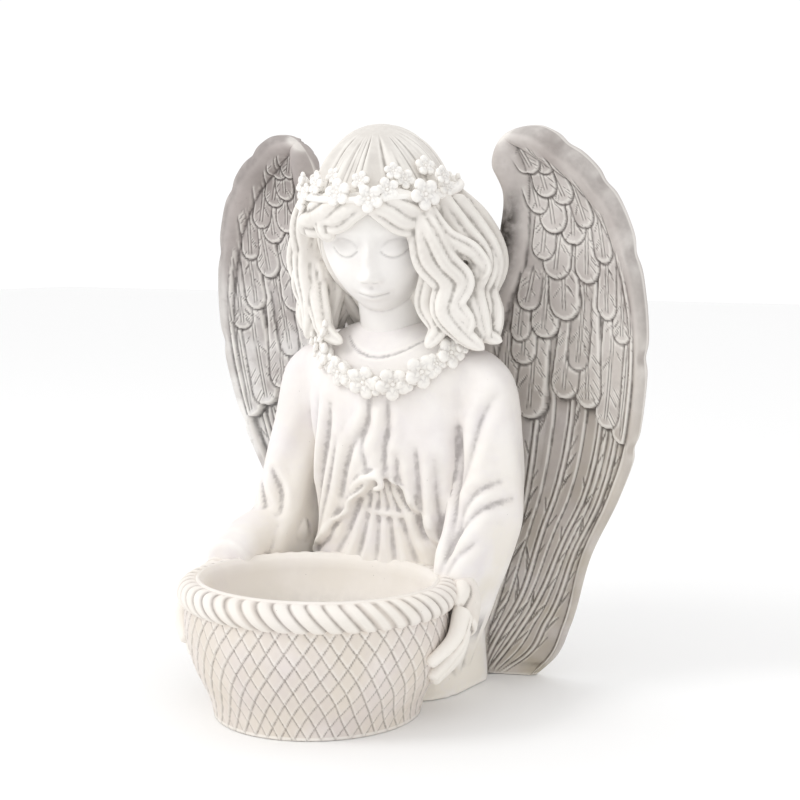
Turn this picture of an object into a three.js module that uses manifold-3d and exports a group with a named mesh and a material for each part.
// Angel bird feeder statue: a winged child in a long robe who holds a woven
// basket in front. It is one hollow casting, so it is one solid here.
// Millimetres, +Z up. The angel faces -Y, its own left hand is on +X, and the
// origin is on the ground under its neck.
import * as THREE from 'three';
import { mergeVertices } from 'three/addons/utils/BufferGeometryUtils.js';
import Module from 'manifold-3d';

const wasm = await Module();
wasm.setup();

// The figure's height, up to the wing tips and the crown of the hair. Its pose
// and carving are drawn at 400 mm and follow this height.
const figureHeight = 400;
const drawnHeight = 400;
const scale = figureHeight / drawnHeight;

// The basket, which is the feeder's bowl.
const basketWidth = 186;
const basketDepth = 172;
const basketHeight = 84;
const basketFootWidth = 139;
const basketFootDepth = 144;
const basketSinkIntoRobe = 24;
const weaveGroove = 1.8;
const weavePitch = 18.5;
const weaveRowHeight = 13;
const ropeThickness = 19;
const ropeStrandPitch = 15.5;
const ropeStrandGroove = 2;
const rimWall = 16.5;
const bowlDepth = 46;
const bowlFloorShare = 0.55;

// The wings.
const bladeThickness = 9;
const feathersAcross = 5;
const featherRelief = 4;
const featherGroove = 2.2;

// Wreath and collar of small flowers.
const wreathFlowerWidth = 20;
const wreathFlowerPitch = 21;
const collarFlowerWidth = 19;
const collarFlowerPitch = 17;

const stone = new THREE.MeshStandardMaterial({ color: 0xdedbd3, roughness: 0.85, metalness: 0 });

const at = (x, y, z) => new THREE.Vector3(x, y, z).multiplyScalar(scale);
const mix = (a, b, t) => a + (b - a) * t;
const smooth = (a, b, x) => {
  const t = THREE.MathUtils.clamp((x - a) / (b - a), 0, 1);
  return t * t * (3 - 2 * t);
};
const mirrored = (p, side) => new THREE.Vector3(p.x * side, p.y, p.z);

// Values between the rows of a table, whose first column is the key.
function along(rows, key) {
  const last = rows.length - 1;
  const k = THREE.MathUtils.clamp(key, rows[0][0], rows[last][0]);
  let i = 0;
  while (i < last - 1 && k >= rows[i + 1][0]) i += 1;
  const rise = (n, column) => (rows[n + 1][column] - rows[n][column]) / (rows[n + 1][0] - rows[n][0]);
  const slope = (n, column) => {
    if (n === 0) return rise(0, column);
    if (n === last) return rise(last - 1, column);
    const before = rows[n][0] - rows[n - 1][0];
    const after = rows[n + 1][0] - rows[n][0];
    return (rise(n - 1, column) * after + rise(n, column) * before) / (before + after);
  };
  const step = rows[i + 1][0] - rows[i][0];
  const t = (k - rows[i][0]) / step;
  return rows[i].slice(1).map((value, n) => {
    const column = n + 1;
    return value * (1 + 2 * t) * (1 - t) ** 2
      + slope(i, column) * step * t * (1 - t) ** 2
      + rows[i + 1][column] * t * t * (3 - 2 * t)
      + slope(i + 1, column) * step * t * t * (t - 1);
  });
}

// A closed three.js geometry, with every point moved by place, as a solid.
function moulded(geometry, place, flip = null) {
  geometry.deleteAttribute('normal');
  geometry.deleteAttribute('uv');
  const merged = mergeVertices(geometry, 1e-5);
  const points = merged.attributes.position;
  const faces = merged.index.array.slice();
  if (flip) flip(faces, points);
  const moved = new Float32Array(points.count * 3);
  for (let n = 0; n < points.count; n += 1) {
    place(new THREE.Vector3().fromBufferAttribute(points, n)).toArray(moved, n * 3);
  }
  const corner = (n) => new THREE.Vector3().fromArray(moved, faces[n] * 3);
  let volume = 0;
  for (let n = 0; n < faces.length; n += 3) {
    volume += corner(n).dot(corner(n + 1).cross(corner(n + 2)));
  }
  for (let n = 0; volume < 0 && n < faces.length; n += 3) {
    [faces[n], faces[n + 1]] = [faces[n + 1], faces[n]];
  }
  const mesh = new wasm.Mesh({ numProp: 3, vertProperties: moved, triVerts: Uint32Array.from(faces) });
  return new wasm.Manifold(mesh);
}

const column = (sides, steps) => new THREE.CylinderGeometry(1, 1, 1, sides, steps);
const ball = (sides, rows) => new THREE.SphereGeometry(1, sides, rows).rotateX(Math.PI / 2);
const fuse = (solids) => solids.reduce((whole, next) => whole.add(next));

// A closed column around an upright axis: section(angle, share) gives the wall,
// with angle 0 at the front and turning towards +X.
function upright(sides, steps, section) {
  return moulded(column(sides, steps), (p) => {
    const share = p.y + 0.5;
    const reach = Math.hypot(p.x, p.z);
    const centre = section(0, share).add(section(Math.PI, share)).multiplyScalar(0.5);
    return reach < 0.5 ? centre : section(Math.atan2(p.x, p.z), share);
  });
}

// A round or oval bar along a curve. size(t) gives half its width and half its
// thickness, and its ends are domed.
function bar(points, size, sides, steps, facing = new THREE.Vector3(0, -1, 0)) {
  const curve = new THREE.CatmullRomCurve3(points);
  return moulded(column(sides, steps), (p) => {
    const t = THREE.MathUtils.clamp(p.y + 0.5, 0, 1);
    const heading = curve.getTangentAt(t);
    const across = new THREE.Vector3().crossVectors(facing, heading).normalize();
    const out = new THREE.Vector3().crossVectors(heading, across).normalize();
    const [halfWidth, halfThickness] = size(t);
    const dome = Math.hypot(p.x, p.z) < 0.5 ? Math.sign(p.y) * halfThickness * 0.6 : 0;
    return curve.getPointAt(t)
      .addScaledVector(across, p.x * halfWidth)
      .addScaledVector(out, p.z * halfThickness)
      .addScaledVector(heading, dome);
  });
}

// Squared oval: a wall point of a section with its own front and back reach.
function ovalPoint(angle, halfWidth, front, back, square) {
  const s = Math.sin(angle);
  const c = Math.cos(angle);
  const depth = c > 0 ? front : back;
  const radius = (Math.abs(s) ** square + Math.abs(c) ** square) ** (-1 / square);
  return [halfWidth * s * radius, -depth * c * radius];
}

// Robe. Rows: height, half width, reach to the front, reach to the back.
const robeMiddle = 8;
const robeRows = [
  [0, 66, 62, 42],
  [30, 64, 52, 42],
  [60, 63, 42, 43],
  [90, 64, 34, 44],
  [120, 63, 34, 44],
  [150, 61, 39, 44],
  [180, 62, 44, 43],
  [205, 64, 46, 42],
  [225, 66, 43, 40],
  [240, 63, 37, 38],
  [250, 48, 29, 34],
  [260, 30, 20, 26],
];
const robeColumns = 28;
const robeFolds = 7;
// The tunic's hem, from its curled peak down to both sides, as [height, x].
const hemTop = 152;
const hemLeft = (height) => mix(14, -66, ((hemTop - height) / 76) ** 0.8);
const hemRight = (height) => mix(14, 62, ((hemTop - height) / 76) ** 0.8);
const robe = upright(robeColumns, 9, (angle, share) => {
  const height = share * 260;
  const [halfWidth, front, back] = along(robeRows, height);
  const x0 = halfWidth * Math.sin(angle);
  const inFront = Math.cos(angle) > 0 && height < hemTop;
  const underTunic = inFront && x0 > hemLeft(height) && x0 < hemRight(height);
  const isPleat = Math.round(angle / (2 * Math.PI) * robeColumns + robeColumns) % 2 === 0;
  const fold = underTunic
    ? (isPleat ? -1.5 : -6.5)
    : Math.cos(angle * robeFolds) * mix(3, 0.5, smooth(120, 225, height));
  const square = mix(3.4, 2.5, smooth(20, 120, height));
  const [x, y] = ovalPoint(angle, halfWidth + fold * 0.5, front + fold, back + fold * 0.6, square);
  return at(x, y + robeMiddle, height);
});
const neck = bar([at(0, 8, 240), at(0, 3, 262), at(1, -6, 292)], () => [23 * scale, 22 * scale], 12, 2);

// Basket: an oval body with diamond weave, a twisted rope rim and an oval bowl.
const basketY = (robeMiddle - 40) * scale + basketSinkIntoRobe - basketDepth / 2;
const ropeHeight = basketHeight - ropeThickness * 0.1;
const wallHeight = basketHeight - ropeThickness * 0.3;
const footWidthShare = basketFootWidth / basketWidth;
const footDepthShare = basketFootDepth / basketDepth;
// How far the wall has come from the foot's size (0) to the full size (1).
const basketSwell = [
  [0, 0],
  [0.12, 0.12],
  [0.45, 0.72],
  [0.8, 1],
  [1, 0.95],
];
const basketWallAt = (angle, height, out) => {
  const [swell] = along(basketSwell, height / wallHeight);
  return new THREE.Vector3(
    (basketWidth / 2 * mix(footWidthShare, 1, swell) + out) * Math.cos(angle),
    basketY + (basketDepth / 2 * mix(footDepthShare, 1, swell) + out) * Math.sin(angle),
    height,
  );
};
const weaveColumns = 2 * Math.round(Math.PI * (basketWidth + basketDepth) / 2 / weavePitch);
const weaveRows = Math.round(wallHeight / weaveRowHeight);
const weaveIsRaised = (p) => {
  const i = Math.round(Math.atan2(p.x, p.z) / (2 * Math.PI) * weaveColumns + weaveColumns);
  return (i + Math.round((p.y + 0.5) * weaveRows)) % 2 === 0;
};

// Every cell of the weave is split along its groove, so the slant alternates.
function splitAlongGrooves(faces, points) {
  for (let n = 0; n < weaveColumns * weaveRows * 6; n += 6) {
    const [a, b, d, , c] = faces.slice(n, n + 6);
    const corner = new THREE.Vector3().fromBufferAttribute(points, a);
    faces.set(weaveIsRaised(corner) ? [a, b, d, b, c, d] : [a, b, c, a, c, d], n);
  }
}
const basketBody = moulded(column(weaveColumns, weaveRows), (p) => {
  const share = p.y + 0.5;
  if (Math.hypot(p.x, p.z) < 0.5) return new THREE.Vector3(0, basketY, share * wallHeight);
  const isEdge = share < 0.01 || share > 0.99;
  const out = isEdge || weaveIsRaised(p) ? 0 : -weaveGroove;
  return basketWallAt(Math.atan2(p.z, p.x), share * wallHeight, out);
}, splitAlongGrooves);

const ropeStrands = Math.round(Math.PI * (basketWidth + basketDepth) / 2 / ropeStrandPitch);
const ropeSides = 5;
const ropeTurn = 2 * Math.PI / ropeStrands;
const rope = moulded(new THREE.TorusGeometry(1, 0.4, ropeSides, ropeStrands * 2), (p) => {
  const around = Math.atan2(p.y, p.x);
  const section = Math.atan2(p.z, Math.hypot(p.x, p.y) - 1);
  const isGroove = Math.round(around / ropeTurn * 2 + ropeStrands * 4) % 2 === 1;
  const radius = ropeThickness / 2 - (isGroove ? ropeStrandGroove : 0);
  const twisted = around + Math.sin(section) * ropeTurn * 0.45;
  const out = radius * Math.cos(section);
  const rim = basketWallAt(twisted, wallHeight, out - ropeThickness * 0.22);
  return rim.setZ(ropeHeight + radius * Math.sin(section));
});

const bowlFloor = basketHeight - bowlDepth;
const bowlTop = ropeHeight + ropeThickness;
const bowl = moulded(column(24, 4), (p) => {
  const share = p.y + 0.5;
  const height = mix(bowlFloor, bowlTop, share);
  const opened = Math.min(1, (height - bowlFloor) / bowlDepth);
  const spread = mix(bowlFloorShare, 1, Math.sqrt(1 - (1 - opened) ** 2));
  const angle = Math.atan2(p.z, p.x);
  const reach = Math.hypot(p.x, p.z);
  return new THREE.Vector3(
    (basketWidth / 2 - rimWall) * spread * reach * Math.cos(angle),
    basketY + (basketDepth / 2 - rimWall) * spread * reach * Math.sin(angle),
    height,
  );
});

// Sleeves. Rows: height, middle x, middle y, half width, half depth.
const sleeveRows = [
  [26, 61, -10, 7, 17],
  [41, 63, -10, 10, 26],
  [57, 66, -10, 13, 32],
  [73, 69, -9, 15, 37],
  [87, 72, -8, 18, 40],
  [102, 74, -4, 21, 40],
  [118, 76, 3, 23, 34],
  [148, 77, 8, 23, 28],
  [182, 77, 8, 21, 24],
  [210, 76, 7, 21, 22],
  [230, 71, 6, 18, 19],
  [242, 64, 6, 11, 13],
];
const sleeveFolds = 5;
// The right arm is held further out than the left one.
const spread = (side, height) => (side < 0 ? 15 : 0) * smooth(215, 125, height) * smooth(20, 75, height);
const sleeve = (side) => upright(10, 8, (angle, share) => {
  const height = mix(26, 242, share);
  const [x, y, halfWidth, halfDepth] = along(sleeveRows, height);
  const fold = Math.cos(angle * sleeveFolds + height / 28) * mix(1.6, 0.6, smooth(120, 220, height));
  const [dx, dy] = ovalPoint(angle, halfWidth + fold, halfDepth + fold, halfDepth + fold, 2.2);
  return at((x + spread(side, height) + dx) * side, y + dy, height);
});
const forearm = bar(
  [at(-90, 0, 104), at(-96, -40, 98), at(-92, -78, 88)],
  (t) => [mix(22, 15, t) * scale, mix(24, 17, t) * scale],
  8,
  3,
  new THREE.Vector3(-1, 0, 0),
);
const cuffHollow = (side) => moulded(ball(6, 5), (p) =>
  at((76 + spread(side, 62) + p.x * 8 + p.z * 2) * side, -48 + p.y * 13, 62 + p.z * 27));

// Hands: the palm leaves the cuff and four fingers lie down the basket's wall.
const rightHandAhead = 24;
const onBasket = (degrees, height, out, side) => {
  const share = height / basketHeight;
  const angle = THREE.MathUtils.degToRad(side < 0 ? degrees - rightHandAhead : degrees);
  const p = basketWallAt(angle, Math.min(share, 1) * wallHeight, out);
  return mirrored(p.setZ(height), side);
};
const fingers = 4;
const hand = (side) => {
  const outward = new THREE.Vector3(side, 0.4, 0.3).normalize();
  const top = basketHeight;
  const palm = [onBasket(44, top * 1.02, 0, side), onBasket(35, top * 0.88, 3, side), onBasket(27, top * 0.7, 3, side)];
  const palmSize = (t) => [mix(11, 15, t) * scale, mix(9, 7, t) * scale];
  const thumb = [onBasket(35, top * 0.92, 4, side), onBasket(27, top * 1.04, 2, side), onBasket(18, top * 1.1, -3, side)];
  const solids = [
    bar(palm, palmSize, 8, 2, outward),
    bar(thumb, (t) => [mix(6, 4.4, t) * scale, mix(5.5, 4, t) * scale], 5, 2, outward),
  ];
  for (let n = 0; n < fingers; n += 1) {
    const place = (n - (fingers - 1) / 2) / fingers;
    const reach = n === 0 || n === fingers - 1 ? 0.46 : 0.38;
    const knuckle = onBasket(27 + place * 24, top * (0.74 - place * 0.2), 3, side);
    const middle = onBasket(20 + place * 25, top * (0.58 - place * 0.22), 3, side);
    const tip = onBasket(13 + place * 25, top * (reach - place * 0.22), 2, side);
    const size = (t) => [mix(5.6, 4.2, t) * scale, mix(5.6, 4, t) * scale];
    solids.push(bar([knuckle, middle, tip], size, 5, 2, outward));
  }
  return fuse(solids);
};

// Tunic: its hem opens at the front like a curtain over a sash and a pleated
// skirt that comes down to the basket.
const hemPaths = [
  [[16, -36, 152], [4, -38, 138], [-18, -36, 116], [-42, -32, 94], [-66, -22, 74]],
  [[12, -37, 154], [22, -37, 138], [34, -33, 112], [48, -28, 92], [66, -20, 76]],
  [[-2, -39, 150], [8, -44, 159], [18, -42, 152], [24, -38, 142]],
];
const hems = hemPaths.map((path) =>
  bar(path.map((p) => at(...p)), (t) => [mix(5, 7, t) * scale, mix(5, 6, t) * scale], 5, 4));
const sash = bar([at(-24, -28, 128), at(4, -35, 124), at(30, -27, 122)], () => [5 * scale, 5 * scale], 6, 3);

// Head. It looks down at the basket and a little to its left. The head's own
// frame has its middle as origin, the face towards -Y and the crown up.
const headTurn = THREE.MathUtils.degToRad(20);
const headNod = THREE.MathUtils.degToRad(20);
const headFrame = new THREE.Matrix4().makeTranslation(2, -14, 330)
  .multiply(new THREE.Matrix4().makeRotationZ(headTurn))
  .multiply(new THREE.Matrix4().makeRotationX(headNod));
const inHead = (x, y, z) => new THREE.Vector3(x, y, z).applyMatrix4(headFrame).multiplyScalar(scale);
const skull = { halfWidth: 43, halfDepth: 50, halfHeight: 60 };
const jawAt = (z) => smooth(0.1, 1, -z / skull.halfHeight);
const faceDepth = (x, z) => {
  const inside = 1 - (x / skull.halfWidth) ** 2 - (z / skull.halfHeight) ** 2;
  const jaw = jawAt(z);
  return -skull.halfDepth * (1 - 0.14 * jaw) * Math.sqrt(Math.max(inside, 0)) - 7 * jaw;
};
const lump = (x, z, size, sink = 0) => moulded(ball(6, 4), (p) =>
  inHead(x + p.x * size[0], faceDepth(x, z) + sink + p.y * size[1], z + p.z * size[2]));
const eyeGap = 17.5;
const eyeLine = -4;
const noseLine = -27;
const mouthLine = -37;
const chinLine = -52;
const head = fuse([
  moulded(ball(14, 9), (p) => {
    const jaw = jawAt(p.z * skull.halfHeight);
    const depth = p.y * skull.halfDepth * (1 - 0.14 * jaw) - 7 * jaw;
    return inHead(p.x * skull.halfWidth * (1 - 0.2 * jaw), depth, p.z * skull.halfHeight);
  }),
  bar(
    [inHead(0, faceDepth(0, eyeLine) + 2, eyeLine + 8), inHead(0, faceDepth(0, noseLine) - 5, noseLine + 3)],
    (t) => [mix(3.5, 6, t) * scale, mix(3, 6, t) * scale],
    5,
    1,
  ),
  lump(-eyeGap, eyeLine, [9, 4.5, 5.4], 1.5),
  lump(eyeGap, eyeLine, [9, 4.5, 5.4], 1.5),
  lump(0, mouthLine + 1.6, [9, 4, 2.4]),
  lump(0, mouthLine - 2, [7.5, 4, 2.6]),
  lump(0, chinLine + 2, [11, 7, 7]),
]);

// Hair: a combed cap, long waves down the back, and locks around the face.
const hairCap = moulded(ball(20, 8), (p) => {
  const aroundCrown = Math.atan2(p.x, p.y);
  const comb = 1 + 0.024 * Math.cos(aroundCrown * 10) * smooth(0.98, 0.7, p.z);
  const face = smooth(0.05, 0.6, -p.y) * smooth(0.52, 0.2, p.z);
  const fit = comb * mix(1, 0.72, face);
  return inHead(p.x * 51 * fit, 3 + p.y * 57 * fit, 2 + p.z * 66 * comb);
});
const backRows = [
  [236, 30, 30, 12],
  [250, 45, 26, 18],
  [272, 56, 16, 26],
  [296, 60, 8, 34],
  [322, 57, 4, 42],
  [348, 48, 2, 44],
];
const backHair = upright(14, 5, (angle, share) => {
  const height = mix(236, 348, share);
  const [halfWidth, middle, halfDepth] = along(backRows, height);
  const wave = Math.cos(angle * 7) * 2;
  const [x, y] = ovalPoint(angle, halfWidth + wave, halfDepth + wave, halfDepth + wave, 2.3);
  return at(x, y + middle, height);
});
const lockPaths = [
  [7, [46, -40, 340], [60, -42, 318], [56, -38, 300], [68, -28, 288], [64, -30, 270], [70, -22, 254], [84, -14, 244]],
  [8, [58, -16, 345], [70, -10, 325], [80, -4, 303], [76, -2, 287], [86, -4, 266], [82, 2, 248]],
  [7, [36, -16, 312], [50, -24, 290], [45, -24, 272], [55, -26, 257], [46, -32, 243]],
  [7, [-44, -34, 338], [-60, -24, 318], [-57, -20, 298], [-66, -14, 284], [-56, -18, 268], [-52, -24, 252]],
  [8, [-54, -12, 342], [-68, -2, 318], [-64, 4, 296], [-74, 6, 276], [-64, 6, 254]],
  [7, [-38, -8, 302], [-48, -22, 280], [-34, -31, 259], [-14, -34, 247]],
];
// The parted fringe, in the head's own frame.
const fringePaths = [
  [7, [3, -54, 34], [-14, -54, 27], [-30, -47, 17], [-42, -34, 8], [-47, -26, -8]],
  [7, [1, -54, 34], [16, -54, 27], [31, -47, 17], [42, -34, 8], [48, -26, -8]],
];
const lock = (size, points) => bar(points, (t) => {
  const full = Math.sqrt(Math.sin(Math.PI * mix(0.12, 0.9, t)));
  return [size * full * scale, size * 0.8 * full * scale];
}, 5, 5);
const locks = [
  ...lockPaths.map(([size, ...path]) => lock(size, path.map((p) => at(...p)))),
  ...fringePaths.map(([size, ...path]) => lock(size, path.map((p) => inHead(...p)))),
];

// A flower with five petals, on a spot with its outward direction. Its back
// narrows to a point inside what carries it.
const petals = 5;
function flower(spot, outward, width, depth) {
  const aside = new THREE.Vector3(0, 0, 1).cross(outward).normalize();
  const up = new THREE.Vector3().crossVectors(outward, aside);
  return moulded(new THREE.ConeGeometry(1, 1, petals * 2), (p) => {
    const angle = Math.atan2(p.x, p.z);
    const isTip = Math.round(angle / Math.PI * petals + petals * 2) % 2 === 0;
    const reach = p.y > 0 ? 0 : Math.hypot(p.x, p.z) * width / 2 * (isTip ? 1 : 0.8);
    const lift = p.y > 0 ? -depth : width * (reach > 0 ? 0.24 : 0.12);
    return spot.clone()
      .addScaledVector(aside, reach * Math.sin(angle))
      .addScaledVector(up, reach * Math.cos(angle))
      .addScaledVector(outward, lift);
  });
}

// Flowers a pitch apart along a closed curve, except at the back of the head.
function flowersAlong(spotAt, middle, pitch, width, depth) {
  const step = 2 * pitch / spotAt(0).distanceTo(spotAt(Math.PI));
  const perSide = Math.round(Math.PI * 0.55 / step);
  return Array.from({ length: perSide * 2 + 1 }, (_, n) => {
    const spot = spotAt((n - perSide) * step - Math.PI / 2);
    const outward = spot.clone().sub(middle).normalize();
    return flower(spot, outward, width * (n % 3 === 1 ? 0.88 : 1), depth);
  });
}
const wreathSpot = (around) =>
  inHead(54 * Math.cos(around), 4 + 57 * Math.sin(around), 24 - 10 * Math.sin(around));
const wreath = flowersAlong(
  wreathSpot,
  inHead(0, 0, 10),
  wreathFlowerPitch,
  wreathFlowerWidth,
  wreathFlowerWidth * 0.8,
);
const collarSpot = (around) => {
  const drop = (0.5 - 0.5 * Math.sin(around)) ** 2;
  return at(3 + 50 * Math.cos(around), 3 + 47 * Math.sin(around), 254 - 38 * drop);
};
const collar = flowersAlong(
  collarSpot,
  at(3, 4, 226),
  collarFlowerPitch,
  collarFlowerWidth,
  collarFlowerWidth * 0.6,
);

// Wings. Rows: share from foot to top, then the outer edge, the inner edge,
// the outer bead's radius, the inner bead's radius and the cup's depth.
const wingRows = [
  [0.00, 98, 61, 0, 46, 44, 0, 3.5, 6, 0],
  [0.10, 116, 60, 40, 44, 45, 40, 4, 7, 4],
  [0.22, 132, 58, 92, 42, 46, 92, 5, 7, 9],
  [0.34, 155, 54, 137, 40, 47, 138, 6, 8, 12],
  [0.46, 171, 48, 178, 38, 47, 184, 6.5, 9, 14],
  [0.56, 180, 40, 228, 37, 46, 228, 7, 12, 15],
  [0.66, 181, 34, 276, 42, 42, 266, 8, 15, 14],
  [0.75, 173, 28, 324, 63, 33, 294, 10, 14, 12],
  [0.84, 155, 20, 361, 74, 29, 326, 12, 12, 10],
  [0.91, 131, 14, 384, 79, 22, 352, 13, 12, 6],
  [0.96, 113, 12, 394, 76, 14, 371, 12, 12, 3],
  [1.00, 92, 10, 399, 74, 6, 383, 9, 9, 0],
];
const edgeMiddle = (share) => {
  const row = along(wingRows, THREE.MathUtils.clamp(share, 0, 1));
  return new THREE.Vector3(row[0] + row[3], row[1] + row[4], row[2] + row[5]);
};
// A point of the wing: across runs from the inner edge (0) to the outer (1),
// share from the foot to the top. face is 1 in front and -1 behind.
function wingPoint(across, share, face, lift = 0) {
  const row = along(wingRows, share);
  const outer = new THREE.Vector3(row[0], row[1], row[2]);
  const inner = new THREE.Vector3(row[3], row[4], row[5]);
  const [outerBead, innerBead, cup] = row.slice(6);
  const span = outer.clone().sub(inner);
  const width = span.length();
  const climb = edgeMiddle(share + 0.01).sub(edgeMiddle(share - 0.01));
  const out = new THREE.Vector3().crossVectors(span, climb).normalize();
  const bead = (d, radius) => Math.sqrt(Math.max(0, radius ** 2 - (d - radius) ** 2));
  const blade = Math.min(bladeThickness / 2, across * width, (1 - across) * width);
  const height = Math.max(bead(across * width, innerBead), bead((1 - across) * width, outerBead), blade);
  return inner.addScaledVector(span, across)
    .addScaledVector(out, face * (height + lift) - 4 * cup * across * (1 - across))
    .multiplyScalar(scale);
}
// Feather tiers, by the share where their tips lie: long flight feathers from
// the foot, long coverts, then small coverts up to the top.
const tierTips = [0, 0.475, 0.62, 0.71, 0.80, 0.89, 1];
const tipStep = 0.012;
const scallop = 0.026;
const wingStations = [];
for (let tier = 0; tier < tierTips.length - 1; tier += 1) {
  const length = tierTips[tier + 1] - tierTips[tier] - tipStep;
  const isTop = tier === tierTips.length - 2;
  const parts = isTop ? 3 : Math.max(1, Math.round(length / 0.15));
  for (let part = 0; part <= parts; part += 1) {
    const lift = tier > 0 ? featherRelief * (1 - part / parts) : 0;
    const isBoundary = (part === 0 && tier > 0) || (part === parts && !isTop);
    const tipTier = part === 0 ? tier : tier + 1;
    wingStations.push({ share: tierTips[tier] + length * part / parts, lift, tier, tipTier, isBoundary });
  }
}
wingStations[wingStations.length - 1].share = 1;

// One loop around the wing: over the inner bead, across the feathers, over the
// outer bead and back behind. Each stop is [across, face, feather column].
const featherColumns = feathersAcross * 2;
function wingStops(share) {
  const row = along(wingRows, share);
  const width = Math.hypot(row[0] - row[3], row[1] - row[4], row[2] - row[5]);
  const i = Math.min(row[7] / width, 0.22);
  const o = Math.min(row[6] / width, 0.22);
  const stops = [[0, 1], [i * 0.3, 1], [i, 1]];
  for (let n = 0; n <= featherColumns; n += 1) {
    stops.push([mix(i * 2, 1 - o * 2, n / featherColumns), 1, n]);
  }
  stops.push([1 - o, 1], [1 - o * 0.3, 1], [1, 1]);
  stops.push([1 - o * 0.7, -1], [0.64, -1], [0.36, -1], [i * 0.7, -1]);
  return stops;
}
const stopCount = wingStops(0).length;
const isCentre = (n, tier) => (n + tier) % 2 === 1;
const wing = (side) => moulded(column(stopCount, wingStations.length - 1), (p) => {
  const station = wingStations[Math.round((p.y + 0.5) * (wingStations.length - 1))];
  const turn = Math.round(Math.atan2(p.x, p.z) / (2 * Math.PI) * stopCount + stopCount) % stopCount;
  if (Math.hypot(p.x, p.z) < 0.5) return mirrored(wingPoint(0.5, station.share, 0), side);
  const [across, face, n] = wingStops(station.share)[turn];
  const isFeather = n !== undefined;
  const droop = isFeather && station.isBoundary && isCentre(n, station.tipTier) ? scallop : 0;
  const relief = isFeather ? station.lift - (isCentre(n, station.tier) ? 0 : featherGroove) : 0;
  const point = wingPoint(across, station.share - droop, face, relief);
  if (station.share === 0) point.z = 0;
  return mirrored(point, side);
});

// The casting: everything in one, then the bowl and the cuffs are hollowed.
const sides = [1, -1];
const dressed = fuse([
  robe, neck, ...hems, sash,
  ...sides.map(sleeve), forearm,
  ...sides.map(wing),
  basketBody, rope,
]);
const hollowed = sides.reduce((whole, side) => whole.subtract(cuffHollow(side)), dressed.subtract(bowl));
const casting = fuse([hollowed, ...sides.map(hand), head, hairCap, backHair, ...locks, ...wreath, ...collar]);

function meshOf(name, solid, material) {
  const { vertProperties, triVerts, numProp } = solid.getMesh();
  const geometry = new THREE.BufferGeometry();
  const positions = new THREE.InterleavedBuffer(vertProperties, numProp);
  geometry.setAttribute('position', new THREE.InterleavedBufferAttribute(positions, 3, 0));
  geometry.setIndex(new THREE.BufferAttribute(triVerts, 1));
  const mesh = new THREE.Mesh(geometry, material);
  mesh.name = name;
  return mesh;
}

const statue = new THREE.Group();
statue.add(meshOf('angel_statue', casting, stone));
export default statue;
